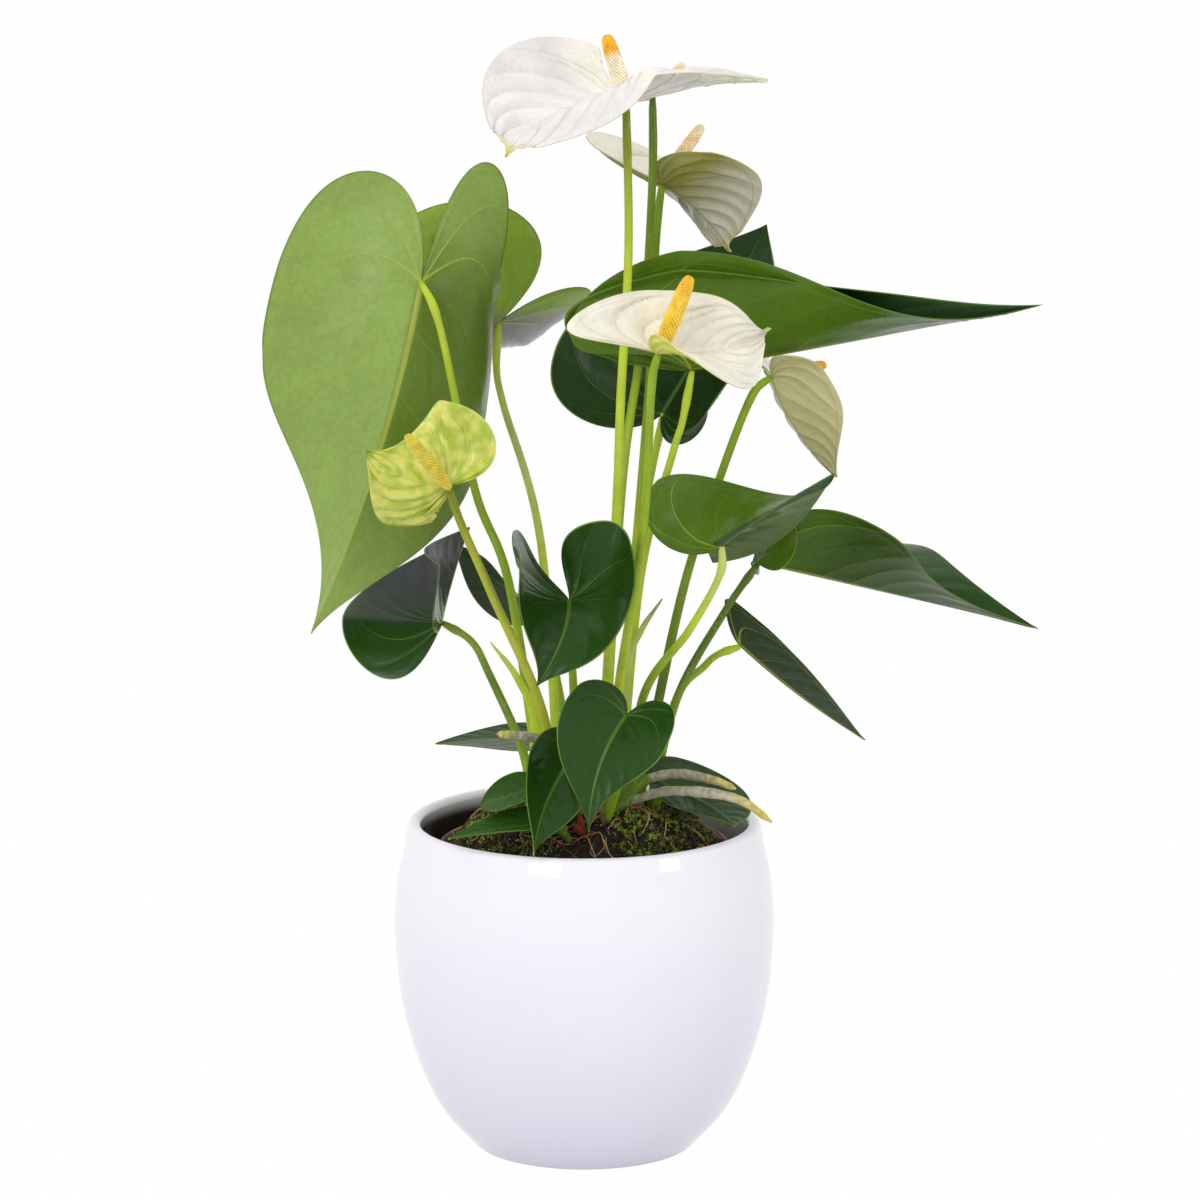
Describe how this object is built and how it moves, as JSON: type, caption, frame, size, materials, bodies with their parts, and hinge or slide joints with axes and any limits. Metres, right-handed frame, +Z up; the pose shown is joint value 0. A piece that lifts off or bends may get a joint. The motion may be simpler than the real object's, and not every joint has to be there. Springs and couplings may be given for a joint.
{
  "type": "potted anthurium",
  "caption": "Flowering anthurium with heart-shaped leaves and cream spathes on long stalks, growing from soil inside a rounded glazed pot.",
  "frame": {"origin": "centre of the cache-pot's flat base, on the surface it stands on", "axes": "+Z up along the pot's axis; -Y is the front, the side that most flowers are seen from; +X is to the right as seen from the front"},
  "size_m": [0.3204, 0.2064, 0.4623],
  "materials": {
    "glazed_ceramic": "glossy white glaze with a faint lilac tint, on ceramic",
    "grow_pot": "satin terracotta-coloured plastic",
    "soil": "rough dark peat with moss and root fibres",
    "leaf_blade": "glossy deep green upper side, duller mid green underside",
    "leaf_stalk": "satin lime to mid green",
    "flower_stalk": "satin lime to olive green",
    "spathe": "waxy cream white with green-yellow veins",
    "spadix": "dotted cream to orange-yellow",
    "aerial_root": "rough grey-cream with green rings"
  },
  "bodies": {
    "root": {"cache_pot": "glazed_ceramic", "grow_pot": "grow_pot", "soil": "soil", "stem_base": "leaf_stalk", "leaf_tall_left": "leaf_blade", "leaf_stalk_tall_left": "leaf_stalk", "leaf_tall_back": "leaf_blade", "leaf_stalk_tall_back": "leaf_stalk", "leaf_tall_right": "leaf_blade", "leaf_stalk_tall_right": "leaf_stalk", "leaf_shaded_back": "leaf_blade", "leaf_stalk_shaded_back": "leaf_stalk", "leaf_long_right": "leaf_blade", "leaf_stalk_long_right": "leaf_stalk", "leaf_cupped_right": "leaf_blade", "leaf_stalk_cupped_right": "leaf_stalk", "leaf_drooping_left": "leaf_blade", "leaf_stalk_drooping_left": "leaf_stalk", "leaf_grey_back": "leaf_blade", "leaf_stalk_grey_back": "leaf_stalk", "leaf_centre": "leaf_blade", "leaf_stalk_centre": "leaf_stalk", "leaf_front_heart": "leaf_blade", "leaf_stalk_front_heart": "leaf_stalk", "leaf_over_rim": "leaf_blade", "leaf_stalk_over_rim": "leaf_stalk", "leaf_low_oval": "leaf_blade", "leaf_stalk_low_oval": "leaf_stalk", "leaf_low_left": "leaf_blade", "leaf_stalk_low_left": "leaf_stalk", "leaf_low_rear": "leaf_blade", "leaf_stalk_low_rear": "leaf_stalk", "leaf_low_right": "leaf_blade", "leaf_stalk_low_right": "leaf_stalk", "leaf_narrow_right": "leaf_blade", "leaf_stalk_narrow_right": "leaf_stalk", "spathe_top": "spathe", "spadix_top": "spadix", "flower_stalk_top": "flower_stalk", "spathe_rear": "spathe", "spadix_rear": "spadix", "flower_stalk_rear": "flower_stalk", "spathe_upper": "spathe", "spadix_upper": "spadix", "flower_stalk_upper": "flower_stalk", "spathe_middle": "spathe", "spadix_middle": "spadix", "flower_stalk_middle": "flower_stalk", "spathe_hanging": "spathe", "spadix_hanging": "spadix", "flower_stalk_hanging": "flower_stalk", "spathe_green": "spathe", "spadix_green": "spadix", "flower_stalk_green": "flower_stalk", "sheath_right": "leaf_stalk", "sheath_left": "leaf_stalk", "aerial_root_back": "aerial_root", "aerial_root_long": "aerial_root", "aerial_root_left": "aerial_root"}
  },
  "joints": []
}
